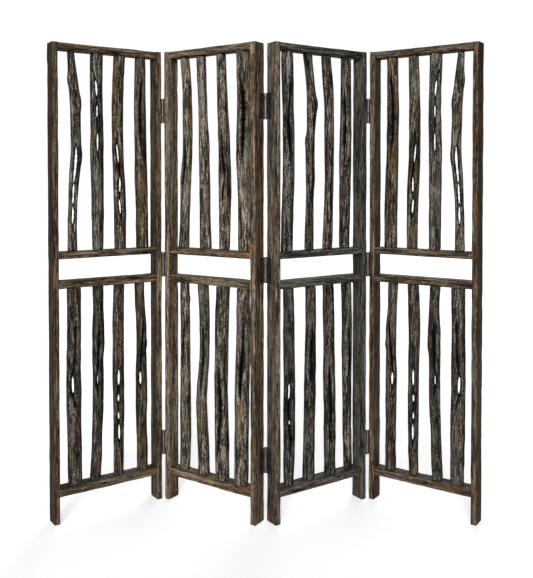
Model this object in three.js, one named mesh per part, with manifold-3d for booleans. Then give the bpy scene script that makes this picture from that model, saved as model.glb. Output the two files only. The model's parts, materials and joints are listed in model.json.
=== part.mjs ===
// Folding room divider: four hinged panels, each a wooden frame filled with natural branch poles.
// Millimetres. +Z is up and +Y points to the back. The origin is on the floor, under the middle of
// the screen as it stands, half unfolded. In a panel's own frame x runs along the panel from its
// left edge, y runs through it from its front face, and z is the height above the floor.

import * as THREE from 'three';
import { mergeVertices } from 'three/addons/utils/BufferGeometryUtils.js';
import Module from 'manifold-3d';

const wasm = await Module();
wasm.setup();

// ---------------------------------------------------------------- driving dimensions

const SCREEN_HEIGHT = 1800;
const PANEL_WIDTH = 445;
const PANEL_DEPTH = 60;
const PANEL_GAP = 7;
const STANDING_ANGLE = THREE.MathUtils.degToRad(34);

const STILE_FACE = 24;
const RAIL_SETBACK = 1;
const TENON_LENGTH = 12;
const BOTTOM_RAIL = { low: 100, high: 130 };
const LOWER_MIDDLE_RAIL = { low: 881, high: 911 };
const UPPER_MIDDLE_RAIL = { low: 993, high: 1020 };
const TOP_RAIL = { low: 1773, high: SCREEN_HEIGHT };

const FIT_GAP = 0.3;
const BRANCH_SIDES = 8;
const BRANCH_RINGS = 16;

const HINGE_HEIGHT = 98;
const HINGE_CENTRES = { top: 1565, middle: 950, bottom: 230 };
const PIN_STANDOFF = 3;
const PIN_RADIUS = 1.6;
const BORE_RADIUS = 2;
const BARREL_RADIUS = 4;
const KNUCKLES = 5;
const KNUCKLE_GAP = 0.4;
const LEAF_THICKNESS = 2;
const LEAF_REACH = 35;
const SCREW_HOLE_RADIUS = 2.4;
const SCREW_HEIGHTS = [14, 49, 84];
const SCREW_DEPTHS = [14, 25, 14];

// Each branch pole is given at five evenly spaced heights, or nine if it is crooked, from its foot up:
// how far its centre stands from the panel's left edge, and how thick it is there.
const pole = (centres, girths) => ({ centres, girths });

const BRANCHES = {
  panel_1: {
    lower: [
      pole([91, 90, 87, 90, 90], [52, 57, 57, 54, 54]),
      pole([171, 177, 179, 183, 184, 184, 186, 187, 184], [41, 43, 42, 43, 42, 46, 50, 40, 44]),
      pole([268, 269, 269, 269, 272], [40, 44, 47, 47, 45]),
      pole([369, 369, 366, 367, 367, 368, 368, 361, 360], [44, 44, 43, 47, 46, 42, 44, 39, 42]),
    ],
    upper: [
      pole([84, 85, 88, 93, 101, 99, 97, 89, 81], [38, 35, 35, 40, 42, 39, 41, 35, 27]),
      pole([186, 185, 185, 184, 184], [45, 50, 53, 50, 50]),
      pole([278, 278, 270, 269, 277], [47, 49, 47, 46, 45]),
      pole([372, 370, 366, 364, 366], [55, 51, 49, 47, 45]),
    ],
  },
  panel_2: {
    lower: [
      pole([82, 86, 84, 84, 82], [42, 44, 44, 40, 38]),
      pole([179, 176, 170, 167, 173, 183, 183, 181, 175], [48, 48, 46, 45, 41, 41, 42, 42, 48]),
      pole([271, 266, 264, 268, 275], [57, 57, 53, 56, 56]),
      pole([361, 361, 364, 370, 370], [57, 57, 57, 54, 52]),
    ],
    upper: [
      pole([78, 83, 87, 89, 97, 99, 97, 93, 85], [45, 40, 43, 46, 41, 40, 40, 38, 37]),
      pole([190, 185, 182, 176, 167], [47, 46, 46, 38, 40]),
      pole([281, 284, 280, 272, 265], [42, 50, 48, 44, 38]),
      pole([380, 377, 371, 372, 369], [56, 56, 56, 56, 54]),
    ],
  },
  panel_3: {
    lower: [
      pole([80, 84, 84, 81, 80], [40, 45, 47, 46, 42]),
      pole([175, 178, 182, 185, 185], [47, 47, 46, 44, 43]),
      pole([280, 280, 277, 274, 272], [45, 49, 48, 45, 46]),
      pole([374, 368, 367, 367, 361], [37, 36, 40, 41, 43]),
    ],
    upper: [
      pole([72, 76, 80, 77, 73], [48, 47, 48, 46, 48]),
      pole([176, 177, 180, 184, 181, 186, 189, 181, 169], [37, 37, 32, 37, 36, 34, 40, 34, 38]),
      pole([265, 274, 276, 275, 258], [43, 40, 40, 40, 40]),
      pole([353, 355, 357, 360, 359], [44, 47, 48, 45, 42]),
    ],
  },
  panel_4: {
    lower: [
      pole([83, 83, 86, 85, 85, 84, 84, 91, 92], [44, 44, 43, 47, 46, 42, 44, 39, 42]),
      pole([183, 180, 180, 183, 179], [39, 43, 46, 46, 45]),
      pole([281, 275, 273, 269, 268, 268, 266, 265, 268], [41, 43, 42, 43, 42, 46, 50, 40, 44]),
      pole([360, 361, 362, 361, 360], [52, 56, 57, 54, 53]),
    ],
    upper: [
      pole([80, 82, 87, 89, 86], [56, 51, 49, 47, 45]),
      pole([173, 174, 182, 181, 176], [46, 48, 47, 45, 43]),
      pole([266, 266, 266, 265, 268], [46, 50, 53, 50, 50]),
      pole([366, 365, 362, 357, 349, 351, 353, 361, 368], [38, 35, 35, 40, 42, 39, 41, 35, 27]),
    ],
  },
};

const BAYS = {
  lower: { low: BOTTOM_RAIL.high, high: LOWER_MIDDLE_RAIL.low },
  upper: { low: UPPER_MIDDLE_RAIL.high, high: TOP_RAIL.low },
};

// ---------------------------------------------------------------- materials

const BROWN_WOOD = { color: 0x6e5646, roughness: 0.8, metalness: 0 };
const GREY_WOOD = { color: 0x615a55, roughness: 0.85, metalness: 0 };
const BRANCH_WOOD = { color: 0x6f665b, roughness: 0.9, metalness: 0 };
const AGED_STEEL = { color: 0x57514b, roughness: 0.5, metalness: 0.9 };
const FRAME_WOOD = { panel_1: BROWN_WOOD, panel_2: BROWN_WOOD, panel_3: GREY_WOOD, panel_4: BROWN_WOOD };

function namedMesh(name, geometry, look) {
  const mesh = new THREE.Mesh(geometry, new THREE.MeshStandardMaterial(look));
  mesh.name = name;
  return mesh;
}

// ---------------------------------------------------------------- solids

function toSolid(geometry) {
  const bare = geometry.clone();
  bare.deleteAttribute('normal');
  bare.deleteAttribute('uv');
  const merged = mergeVertices(bare);
  const mesh = new wasm.Mesh({
    numProp: 3,
    vertProperties: new Float32Array(merged.attributes.position.array),
    triVerts: new Uint32Array(merged.index.array),
  });
  return new wasm.Manifold(mesh);
}

function toGeometry(solid) {
  const mesh = solid.getMesh();
  const geometry = new THREE.BufferGeometry();
  geometry.setAttribute('position', new THREE.BufferAttribute(mesh.vertProperties, 3));
  geometry.setIndex(new THREE.BufferAttribute(mesh.triVerts, 1));
  geometry.computeVertexNormals();
  return geometry;
}

// A block between two corners, each given as [x, y, z].
function block(low, high) {
  const size = high.map((value, i) => value - low[i]);
  const geometry = new THREE.BoxGeometry(...size);
  geometry.translate(...low.map((value, i) => value + size[i] / 2));
  return toSolid(geometry);
}

// An upright rod on the z axis.
function rod(radius, low, high, sides) {
  const geometry = new THREE.CylinderGeometry(radius, radius, high - low, sides);
  geometry.rotateX(Math.PI / 2);
  geometry.translate(0, 0, (low + high) / 2);
  return toSolid(geometry);
}

// ---------------------------------------------------------------- wooden frame

function railSolid(rail) {
  const low = [STILE_FACE - TENON_LENGTH, RAIL_SETBACK, rail.low];
  const high = [PANEL_WIDTH - STILE_FACE + TENON_LENGTH, PANEL_DEPTH - RAIL_SETBACK, rail.high];
  return block(low, high);
}

// Two stiles and four rails, tenoned and glued into one piece.
function frameGeometry() {
  const leftStile = block([0, 0, 0], [STILE_FACE, PANEL_DEPTH, SCREEN_HEIGHT]);
  const rightStile = block(
    [PANEL_WIDTH - STILE_FACE, 0, 0],
    [PANEL_WIDTH, PANEL_DEPTH, SCREEN_HEIGHT],
  );
  const rails = [BOTTOM_RAIL, LOWER_MIDDLE_RAIL, UPPER_MIDDLE_RAIL, TOP_RAIL].map(railSolid);
  const frame = rails.reduce((joined, rail) => joined.add(rail), leftStile.add(rightStile));
  return toGeometry(frame);
}

// ---------------------------------------------------------------- branch poles

// A value of an evenly spaced list at a fraction of its length, on a smooth curve.
function valueAlong(values, fraction) {
  const points = values.map((value, i) => new THREE.Vector3(value, i, 0));
  return new THREE.CatmullRomCurve3(points).getPoint(fraction).x;
}

// A cylinder whose rings are moved onto the pole's centre line and scaled to its thickness.
function branchGeometry(branch, bay) {
  const low = bay.low + FIT_GAP;
  const length = bay.high - FIT_GAP - low;
  const geometry = new THREE.CylinderGeometry(1, 1, length, BRANCH_SIDES, BRANCH_RINGS);
  geometry.rotateX(Math.PI / 2);
  const position = geometry.attributes.position;
  for (let i = 0; i < position.count; i += 1) {
    const fraction = THREE.MathUtils.clamp(position.getZ(i) / length + 0.5, 0, 1);
    const radius = valueAlong(branch.girths, fraction) / 2;
    const x = valueAlong(branch.centres, fraction) + radius * position.getX(i);
    const y = PANEL_DEPTH / 2 + radius * position.getY(i);
    position.setXYZ(i, x, y, low + fraction * length);
  }
  geometry.computeVertexNormals();
  return geometry;
}

// ---------------------------------------------------------------- hinges

// Heights of one knuckle above the hinge's foot, with an optional margin at both ends.
function knuckleSpan(index, margin) {
  const pitch = (HINGE_HEIGHT + KNUCKLE_GAP) / KNUCKLES;
  const low = index * pitch;
  return [low - margin, low + pitch - KNUCKLE_GAP + margin];
}

// A leaf lies against its stile's end, y = 0 being level with the pin. side is -1 or +1 in x.
function leafPlate(side) {
  const near = PANEL_GAP / 2 - FIT_GAP - LEAF_THICKNESS;
  const far = near + LEAF_THICKNESS;
  const [lowX, highX] = side > 0 ? [near, far] : [-far, -near];
  let plate = block([lowX, 0, 0], [highX, LEAF_REACH, HINGE_HEIGHT]);
  SCREW_HEIGHTS.forEach((height, i) => {
    const hole = rod(SCREW_HOLE_RADIUS, -PANEL_GAP, PANEL_GAP, 8);
    const placed = hole.rotate([0, 90, 0]).translate([0, SCREW_DEPTHS[i], height]);
    plate = plate.subtract(placed);
  });
  return plate;
}

const PIN_KNUCKLES = [0, 2, 4];
const BORED_KNUCKLES = [1, 3];

function joinKnuckles(plate, own, others) {
  const cleared = others.reduce((rest, index) => {
    const [low, high] = knuckleSpan(index, KNUCKLE_GAP);
    return rest.subtract(rod(BARREL_RADIUS + FIT_GAP, low, high, 10));
  }, plate);
  return own.reduce((joined, index) => {
    const [low, high] = knuckleSpan(index, 0);
    return joined.add(rod(BARREL_RADIUS, low, high, 10));
  }, cleared);
}

// The leaf at -x, with three solid knuckles and the pin riveted through them.
function pinLeafGeometry() {
  const leaf = joinKnuckles(leafPlate(-1), PIN_KNUCKLES, BORED_KNUCKLES);
  return toGeometry(leaf.add(rod(PIN_RADIUS, 0, HINGE_HEIGHT, 8)));
}

// The leaf at +x, with two knuckles bored to turn on the pin.
function boredLeafGeometry() {
  const leaf = joinKnuckles(leafPlate(1), BORED_KNUCKLES, PIN_KNUCKLES);
  return toGeometry(leaf.subtract(rod(BORE_RADIUS, -1, HINGE_HEIGHT + 1, 8)));
}

// ---------------------------------------------------------------- where things stand

const LEFT_PIN_X = -PANEL_GAP / 2;
const RIGHT_PIN_X = PANEL_WIDTH + PANEL_GAP / 2;
const FRONT_PIN_Y = -PIN_STANDOFF;
const BACK_PIN_Y = PANEL_DEPTH + PIN_STANDOFF;

function turned(x, y, angle) {
  return new THREE.Vector2(x, y).rotateAround(new THREE.Vector2(), angle);
}

// The middle pin, placed so that the standing screen's outline is centred on the origin.
const standingDepth = PANEL_WIDTH * Math.sin(STANDING_ANGLE) + PANEL_DEPTH * Math.cos(STANDING_ANGLE);
const pinToFront = BACK_PIN_Y * Math.cos(STANDING_ANGLE) + LEFT_PIN_X * Math.sin(STANDING_ANGLE);
const middlePin = new THREE.Vector2(0, pinToFront - standingDepth / 2);

const rising = STANDING_ANGLE;
const falling = -STANDING_ANGLE;
const origin2 = middlePin.clone().sub(turned(RIGHT_PIN_X, BACK_PIN_Y, falling));
const leftPin = origin2.clone().add(turned(LEFT_PIN_X, FRONT_PIN_Y, falling));
const origin1 = leftPin.clone().sub(turned(RIGHT_PIN_X, FRONT_PIN_Y, rising));
const origin3 = middlePin.clone().sub(turned(LEFT_PIN_X, BACK_PIN_Y, rising));
const rightPin = origin3.clone().add(turned(RIGHT_PIN_X, FRONT_PIN_Y, rising));
const origin4 = rightPin.clone().sub(turned(LEFT_PIN_X, FRONT_PIN_Y, falling));

const PANELS = {
  panel_1: { corner: origin1, heading: rising },
  panel_2: { corner: origin2, heading: falling },
  panel_3: { corner: origin3, heading: rising },
  panel_4: { corner: origin4, heading: falling },
};

// Each joint: the panel at its left, the panel at its right, and whether its pins are at the back.
const JOINTS = {
  hinge_1_2: { left: 'panel_1', right: 'panel_2', atBack: false },
  hinge_2_3: { left: 'panel_2', right: 'panel_3', atBack: true },
  hinge_3_4: { left: 'panel_3', right: 'panel_4', atBack: false },
};

// ---------------------------------------------------------------- assembly

const screen = new THREE.Group();
const panelGroups = {};

function addBranches(group, panel) {
  for (const [bayName, bay] of Object.entries(BAYS)) {
    BRANCHES[panel][bayName].forEach((branch, i) => {
      const name = `${panel}_${bayName}_branch_${i + 1}`;
      group.add(namedMesh(name, branchGeometry(branch, bay), BRANCH_WOOD));
    });
  }
}

for (const [panel, place] of Object.entries(PANELS)) {
  const group = new THREE.Group();
  group.position.set(place.corner.x, place.corner.y, 0);
  group.rotation.z = place.heading;
  group.add(namedMesh(`${panel}_frame`, frameGeometry(), FRAME_WOOD[panel]));
  addBranches(group, panel);
  panelGroups[panel] = group;
  screen.add(group);
}

// Half a turn puts a front hinge at the back, with its pin leaf on the right-hand panel.
function addLeaf(panel, name, geometry, x, y, foot, atBack) {
  const leaf = namedMesh(name, geometry, AGED_STEEL);
  leaf.position.set(x, y, foot);
  leaf.rotation.z = atBack ? Math.PI : 0;
  panelGroups[panel].add(leaf);
}

for (const [joint, { left, right, atBack }] of Object.entries(JOINTS)) {
  const y = atBack ? BACK_PIN_Y : FRONT_PIN_Y;
  const pinned = atBack ? [right, LEFT_PIN_X] : [left, RIGHT_PIN_X];
  const bored = atBack ? [left, RIGHT_PIN_X] : [right, LEFT_PIN_X];
  for (const [level, centre] of Object.entries(HINGE_CENTRES)) {
    const foot = centre - HINGE_HEIGHT / 2;
    const name = `${joint}_${level}`;
    addLeaf(pinned[0], `${name}_pin_leaf`, pinLeafGeometry(), pinned[1], y, foot, atBack);
    addLeaf(bored[0], `${name}_bored_leaf`, boredLeafGeometry(), bored[1], y, foot, atBack);
  }
}

export default screen;
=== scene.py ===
"""Looks of a folding screen: weathered boards, split branch poles and steel hinges round the CAD frame.

Everything is in metres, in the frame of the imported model. A panel's own frame has x along the panel from
its left edge, y through it from its front face, and z up from the floor.
"""

import json
import math
from types import SimpleNamespace

import bmesh
import bpy
import numpy as np
from mathutils import Matrix, Vector


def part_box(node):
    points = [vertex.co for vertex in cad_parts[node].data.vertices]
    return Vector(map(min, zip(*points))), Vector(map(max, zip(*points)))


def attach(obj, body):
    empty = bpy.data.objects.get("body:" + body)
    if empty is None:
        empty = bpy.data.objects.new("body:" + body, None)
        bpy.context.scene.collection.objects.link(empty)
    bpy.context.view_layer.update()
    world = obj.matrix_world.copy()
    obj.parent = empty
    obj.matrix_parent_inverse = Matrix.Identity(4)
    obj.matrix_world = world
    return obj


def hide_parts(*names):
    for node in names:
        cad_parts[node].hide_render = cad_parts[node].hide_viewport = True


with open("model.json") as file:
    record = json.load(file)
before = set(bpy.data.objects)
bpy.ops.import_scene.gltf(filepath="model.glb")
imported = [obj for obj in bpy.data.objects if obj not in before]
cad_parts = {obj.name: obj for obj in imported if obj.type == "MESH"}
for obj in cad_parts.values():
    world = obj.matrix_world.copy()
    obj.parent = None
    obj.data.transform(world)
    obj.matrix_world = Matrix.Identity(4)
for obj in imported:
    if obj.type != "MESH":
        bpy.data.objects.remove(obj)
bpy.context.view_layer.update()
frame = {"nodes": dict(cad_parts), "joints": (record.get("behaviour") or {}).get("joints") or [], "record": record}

MM = 0.001
PANELS = ["panel_1", "panel_2", "panel_3", "panel_4"]
JOINTS = ["hinge_1_2", "hinge_2_3", "hinge_3_4"]
LEVELS = ["top", "middle", "bottom"]


# ---------------------------------------------------------------- camera, floor and light

CAMERA_PLACE = Vector((0.004, -2.975, 1.287))
CAMERA_PITCH = math.radians(1.2)
CAMERA_LENS = 47.7
CAMERA_SHIFT = -0.16
FLOOR_SHADE = 0.8
FLOOR_GLOW = 0.45
BACKDROP_GLOW = 1.0
SKY_STRENGTH = 0.14
FLOOR_REACH = 60
FLOOR_DROP = 0.5 * MM
BACKDROP_RADIUS = 55


def add_object(name, data):
    made = bpy.data.objects.new(name, data)
    bpy.context.scene.collection.objects.link(made)
    return made


def new_material(name):
    """A node material, its node tree and its shader."""
    material = bpy.data.materials.new(name)
    material.use_nodes = True
    return material, material.node_tree, material.node_tree.nodes["Principled BSDF"]


def add_camera():
    data = bpy.data.cameras.new("camera")
    data.lens = CAMERA_LENS
    data.sensor_width = 36
    data.shift_y = CAMERA_SHIFT
    camera = add_object("camera", data)
    camera.location = CAMERA_PLACE
    camera.rotation_euler = (math.pi / 2 - CAMERA_PITCH, 0, 0)
    bpy.context.scene.camera = camera


def add_sun(name, direction, strength, softness):
    """A soft light from far away: direction is where it shines from."""
    data = bpy.data.lights.new(name, "SUN")
    data.energy = strength
    data.angle = math.radians(softness)
    sun = add_object(name, data)
    sun.rotation_euler = Vector(direction).to_track_quat("Z", "Y").to_euler()


def plain_stage_object(name, mesh, colour, glow):
    material, _, shader = new_material(name)
    shader.inputs["Base Color"].default_value = (colour, colour, colour, 1)
    shader.inputs["Roughness"].default_value = 0.9
    shader.inputs["Emission Color"].default_value = (1, 1, 1, 1)
    shader.inputs["Emission Strength"].default_value = glow
    mesh.materials.append(material)
    stage = add_object(name, mesh)
    return stage


def add_floor():
    corners = [(x * FLOOR_REACH, y * FLOOR_REACH, 0) for x, y in ((-1, -1), (1, -1), (1, 1), (-1, 1))]
    mesh = bpy.data.meshes.new("floor")
    mesh.from_pydata(corners, [], [(0, 1, 2, 3)])
    floor = plain_stage_object("floor", mesh, FLOOR_SHADE, FLOOR_GLOW)
    floor.location.z = -FLOOR_DROP
    floor.visible_diffuse = False


def add_backdrop():
    """A wide plain shell round the studio. It is only a background: it sheds no light on the object."""
    shell = bmesh.new()
    bmesh.ops.create_uvsphere(shell, u_segments=48, v_segments=24, radius=BACKDROP_RADIUS)
    mesh = bpy.data.meshes.new("backdrop")
    shell.to_mesh(mesh)
    shell.free()
    backdrop = plain_stage_object("backdrop", mesh, 0, BACKDROP_GLOW)
    backdrop.visible_diffuse = False
    backdrop.visible_glossy = False
    backdrop.visible_transmission = False
    backdrop.visible_shadow = False


def add_studio():
    world = bpy.data.worlds.new("studio")
    world.use_nodes = True
    background = world.node_tree.nodes["Background"]
    background.inputs["Color"].default_value = (1, 1, 1, 1)
    background.inputs["Strength"].default_value = SKY_STRENGTH
    bpy.context.scene.world = world
    bpy.context.scene.view_settings.view_transform = "Standard"
    add_sun("key", (-0.12, -1, 0.3), 3.0, 20)
    add_sun("top_fill", (-0.3, -0.4, 1), 0.7, 60)
    add_sun("back_fill", (0.3, 1, 0.5), 1.8, 40)


# ---------------------------------------------------------------- meshes

def noise(rng, around, along, cells_around, cells_along):
    """Smooth noise from -1 to 1 on a piece's skin, closed round the piece. Both inputs run from 0 to 1."""
    table = rng.uniform(-1, 1, (cells_along + 2, cells_around))
    across = np.mod(around, 1) * cells_around
    up = np.clip(along, 0, 1) * cells_along
    column = np.floor(across).astype(int)
    row = np.floor(up).astype(int)
    across = across - column
    up = up - row
    across = across * across * (3 - 2 * across)
    up = up * up * (3 - 2 * up)
    left = column % cells_around
    right = (column + 1) % cells_around
    low = table[row, left] * (1 - across) + table[row, right] * across
    high = table[row + 1, left] * (1 - across) + table[row + 1, right] * across
    return low * (1 - up) + high * up


def quads(lower, upper):
    """Faces between two rows of vertex numbers that run the same way, anticlockwise seen from above."""
    return np.stack([lower[:-1], lower[1:], upper[1:], upper[:-1]], axis=1).tolist()


def fans(bottom, top, bottom_centre, top_centre):
    """The two flat ends of a sweep, closed with a fan of triangles each."""
    bottom_next = np.roll(bottom, -1)
    top_next = np.roll(top, -1)
    low = [[bottom_centre, b, a] for a, b in zip(bottom.tolist(), bottom_next.tolist())]
    high = [[top_centre, a, b] for a, b in zip(top.tolist(), top_next.tolist())]
    return low + high


def tube(rows, columns):
    """The vertex numbers of a tube, row by row, and the faces round it."""
    numbers = np.arange(rows * columns).reshape(rows, columns)
    closed = np.concatenate([numbers, numbers[:, :1]], axis=1)
    faces = [face for lower, upper in zip(closed[:-1], closed[1:]) for face in quads(lower, upper)]
    return numbers, faces


def make_object(name, points, faces, material, values, matrix=None):
    """A smooth mesh object. values holds per-point attributes: numbers, or vectors of three."""
    mesh = bpy.data.meshes.new(name)
    mesh.from_pydata(np.asarray(points).tolist(), [], faces)
    for key, value in values.items():
        value = np.asarray(value, np.float32)
        kind = "FLOAT_VECTOR" if value.ndim == 2 else "FLOAT"
        field = "vector" if value.ndim == 2 else "value"
        mesh.attributes.new(key, kind, "POINT").data.foreach_set(field, value.ravel())
    mesh.shade_smooth()
    mesh.materials.append(material)
    made = add_object(name, mesh)
    if matrix is not None:
        made.matrix_world = matrix
    return made


def place(piece, body, slot, *nodes):
    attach(piece, body)
    if nodes:
        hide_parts(*nodes)


# ---------------------------------------------------------------- materials

def srgb(red, green, blue):
    """A colour given in the usual 0 to 255, as the shader wants it."""
    parts = [value / 255 for value in (red, green, blue)]
    linear = [part / 12.92 if part <= 0.04045 else ((part + 0.055) / 1.055) ** 2.4 for part in parts]
    return (*linear, 1)


def node(tree, kind, inputs=None, **settings):
    made = tree.nodes.new(kind)
    for key, value in settings.items():
        setattr(made, key, value)
    for key, value in (inputs or {}).items():
        if isinstance(value, bpy.types.NodeSocket):
            tree.links.new(value, made.inputs[key])
        else:
            made.inputs[key].default_value = value
    return made


def math_node(tree, operation, first, second=0.0):
    return node(tree, "ShaderNodeMath", {0: first, 1: second}, operation=operation).outputs[0]


def spread(tree, value, low, high):
    """A value's stretch between low and high, drawn out to 0 to 1."""
    inputs = {"Value": value, "From Min": low, "From Max": high}
    return node(tree, "ShaderNodeMapRange", inputs).outputs[0]


def attribute(tree, name, output):
    return node(tree, "ShaderNodeAttribute", attribute_name=name).outputs[output]


def stretched(tree, vector, along):
    return node(
        tree, "ShaderNodeVectorMath", {0: vector, 1: (1, 1, along)}, operation="MULTIPLY"
    ).outputs[0]


def noise_node(tree, vector, scale, detail, roughness=0.55, output="Fac"):
    inputs = {"Vector": vector, "Scale": scale, "Detail": detail, "Roughness": roughness}
    return node(tree, "ShaderNodeTexNoise", inputs).outputs[output]


def ramp(tree, value, stops):
    made = node(tree, "ShaderNodeValToRGB", {"Fac": value})
    elements = made.color_ramp.elements
    elements[0].position, elements[0].color = stops[0]
    elements[1].position, elements[1].color = stops[-1]
    for position, colour in stops[1:-1]:
        elements.new(position).color = colour
    return made.outputs["Color"]


def mix(tree, factor, first, second, blend="MIX"):
    made = node(tree, "ShaderNodeMix", data_type="RGBA", blend_type=blend)
    for index, value in ((0, factor), (6, first), (7, second)):
        if isinstance(value, bpy.types.NodeSocket):
            tree.links.new(value, made.inputs[index])
        else:
            made.inputs[index].default_value = value
    return made.outputs[2]


def bent_grain(tree):
    """The grain's own coordinates, bent a little so that fibres run in soft waves."""
    grain = attribute(tree, "grain", "Vector")
    sway = noise_node(tree, stretched(tree, grain, 0.3), 16, 2, output="Color")
    centred = node(tree, "ShaderNodeVectorMath", {0: sway, 1: (0.5, 0.5, 0.5)}, operation="SUBTRACT")
    amount = node(
        tree, "ShaderNodeVectorMath", {0: centred.outputs[0], 1: (0.012, 0.012, 0)}, operation="MULTIPLY"
    )
    return node(
        tree, "ShaderNodeVectorMath", {0: grain, 1: amount.outputs[0]}, operation="ADD"
    ).outputs[0]


def blend_of(tree, parts):
    """The weighted sum of some values: parts holds (value, weight)."""
    total = 0.0
    for value, weight in parts:
        total = math_node(tree, "ADD", math_node(tree, "MULTIPLY", value, weight), total)
    return total


def set_surface(tree, shader, value, roughness, height, strength, distance):
    """Roughness from the first number at a low value to the second at a high one, and bumps by height."""
    inputs = {"Value": value, "From Min": 0.35, "From Max": 0.65}
    inputs.update({"To Min": roughness[0], "To Max": roughness[1]})
    tree.links.new(node(tree, "ShaderNodeMapRange", inputs).outputs[0], shader.inputs["Roughness"])
    bump = node(tree, "ShaderNodeBump", {"Height": height, "Strength": strength, "Distance": distance})
    tree.links.new(bump.outputs["Normal"], shader.inputs["Normal"])


def wood_colour(tree, shade, palette, warm_share, pale_share):
    """The wood's colour by its shade, mixed with its warm and pale colours by their shares."""
    stops = [(0.0, "shadow"), (0.3, "deep"), (0.62, "body"), (1.0, "light")]
    colour = ramp(tree, shade, [(position, palette[key]) for position, key in stops])
    greys = [(0.0, srgb(70, 66, 62)), (0.5, srgb(190, 190, 190)), (1.0, srgb(255, 255, 255))]
    shading = ramp(tree, shade, greys)
    warm = mix(tree, 1.0, shading, palette["warm"], "MULTIPLY")
    colour = mix(tree, warm_share, colour, warm)
    pale = mix(tree, 1.0, shading, palette["pale"], "MULTIPLY")
    return mix(tree, pale_share, colour, pale)


def fine_checks(tree, grain, along_patches, fibre_run, fibre_scale):
    """Thin dark drying lines along the grain, in some places only."""
    check_noise = noise_node(tree, stretched(tree, grain, 0.7 / fibre_run), fibre_scale * 0.5, 2, 0.5)
    from_middle = math_node(tree, "ABSOLUTE", math_node(tree, "SUBTRACT", check_noise, 0.5))
    lines = math_node(tree, "SUBTRACT", 1.0, spread(tree, from_middle, 0.0, 0.02))
    where = spread(tree, noise_node(tree, along_patches, 17, 1), 0.5, 0.57)
    return math_node(tree, "MULTIPLY", math_node(tree, "MULTIPLY", lines, where), 0.85)


def toned(tree, colour, warmth):
    """A colour made lighter or darker by the piece's tone, which also carries painted shade on some sides, and
    richer by its warmth.
    """
    tone = math_node(tree, "ADD", math_node(tree, "MULTIPLY", attribute(tree, "tone", "Fac"), 0.6), 1.0)
    saturation = math_node(tree, "MULTIPLY_ADD", warmth, 2.5)
    saturation.node.inputs[2].default_value = 1.0
    inputs = {"Color": colour, "Value": tone, "Saturation": saturation}
    return node(tree, "ShaderNodeHueSaturation", inputs).outputs["Color"]


def wood(name, palette, fibre_run, patch_run, fibre_scale):
    """Weathered, brushed wood. fibre_run and patch_run say how far the pattern is drawn along the grain."""
    material, tree, shader = new_material(name)
    grain = bent_grain(tree)
    along_fibres = stretched(tree, grain, 1 / fibre_run)
    along_patches = stretched(tree, grain, 1 / patch_run)
    fibres = noise_node(tree, along_fibres, fibre_scale, 4, 0.7)
    bands = noise_node(tree, along_fibres, fibre_scale * 0.3, 2)
    specks = noise_node(tree, along_patches, fibre_scale * 1.1, 3, 0.65)
    weave = blend_of(tree, [(fibres, 0.5), (bands, 0.22), (specks, 0.28)])
    warmth = math_node(tree, "MULTIPLY", attribute(tree, "warmth", "Fac"), 0.1)
    patches = math_node(tree, "ADD", noise_node(tree, along_patches, 21, 3), warmth)
    stains = noise_node(tree, along_patches, 9, 2)
    warm_share = math_node(tree, "MULTIPLY", spread(tree, patches, 0.5, 0.66), 0.8)
    pale_share = math_node(tree, "MULTIPLY", spread(tree, stains, 0.52, 0.68), 0.7)
    colour = wood_colour(tree, spread(tree, weave, 0.41, 0.59), palette, warm_share, pale_share)
    checks = fine_checks(tree, grain, along_patches, fibre_run, fibre_scale)
    # Painted shade: cracks, splits and slits darken to the crack colour by their crack shade; the fine check lines
    # darken to it too.
    dark = math_node(tree, "MAXIMUM", checks, attribute(tree, "crack_shade", "Fac"))
    colour = mix(tree, dark, toned(tree, colour, warmth), palette["crack"])
    tree.links.new(colour, shader.inputs["Base Color"])
    shader.inputs["Specular IOR Level"].default_value = 0.1
    height = math_node(tree, "SUBTRACT", weave, math_node(tree, "MULTIPLY", checks, 0.3))
    set_surface(tree, shader, weave, (0.85, 0.6), height, 0.9, 6 * MM)
    return material


def steel(name, bright, dull, rust):
    """Aged steel: dull blotches and a little rust over worn metal."""
    material, tree, shader = new_material(name)
    place_on = attribute(tree, "grain", "Vector")
    blotches = noise_node(tree, place_on, 160, 4, 0.65)
    freckles = noise_node(tree, place_on, 620, 3, 0.6)
    scratches = noise_node(tree, stretched(tree, place_on, 0.08), 900, 2)
    wear = blend_of(tree, [(blotches, 0.6), (freckles, 0.25), (scratches, 0.15)])
    colour = ramp(tree, spread(tree, wear, 0.4, 0.6), [(0.0, dull), (1.0, bright)])
    rusty = spread(tree, noise_node(tree, place_on, 95, 4, 0.7), 0.53, 0.64)
    colour = mix(tree, math_node(tree, "MULTIPLY", rusty, 0.8), colour, rust)
    tone = math_node(tree, "ADD", attribute(tree, "tone", "Fac"), 1.0)
    colour = node(tree, "ShaderNodeHueSaturation", {"Color": colour, "Value": tone}).outputs["Color"]
    tree.links.new(colour, shader.inputs["Base Color"])
    metal = math_node(tree, "SUBTRACT", 0.9, math_node(tree, "MULTIPLY", rusty, 0.75))
    tree.links.new(metal, shader.inputs["Metallic"])
    set_surface(tree, shader, wear, (0.62, 0.36), wear, 0.5, 0.3 * MM)
    return material


def palette_of(*colours):
    """A wood's colours by name, given in the order of the names."""
    names = ("shadow", "deep", "body", "light", "warm", "pale", "crack")
    return {name: srgb(*colour) for name, colour in zip(names, colours)}


# The crack colour is the near-black painted shade of cracks, splits and slits, and also colours the fine check
# lines.
BROWN = palette_of(
    (22, 17, 12), (56, 46, 35), (93, 78, 61), (146, 126, 102), (126, 90, 62), (138, 126, 106), (7, 5, 4)
)
GREY = palette_of(
    (20, 18, 16), (51, 48, 43), (82, 78, 70), (128, 121, 109), (106, 91, 74), (120, 115, 105), (6, 5, 5)
)
BRANCH = palette_of(
    (8, 7, 5), (28, 25, 21), (84, 77, 67), (174, 162, 144), (124, 102, 72), (138, 131, 120), (4, 3, 2)
)

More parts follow.
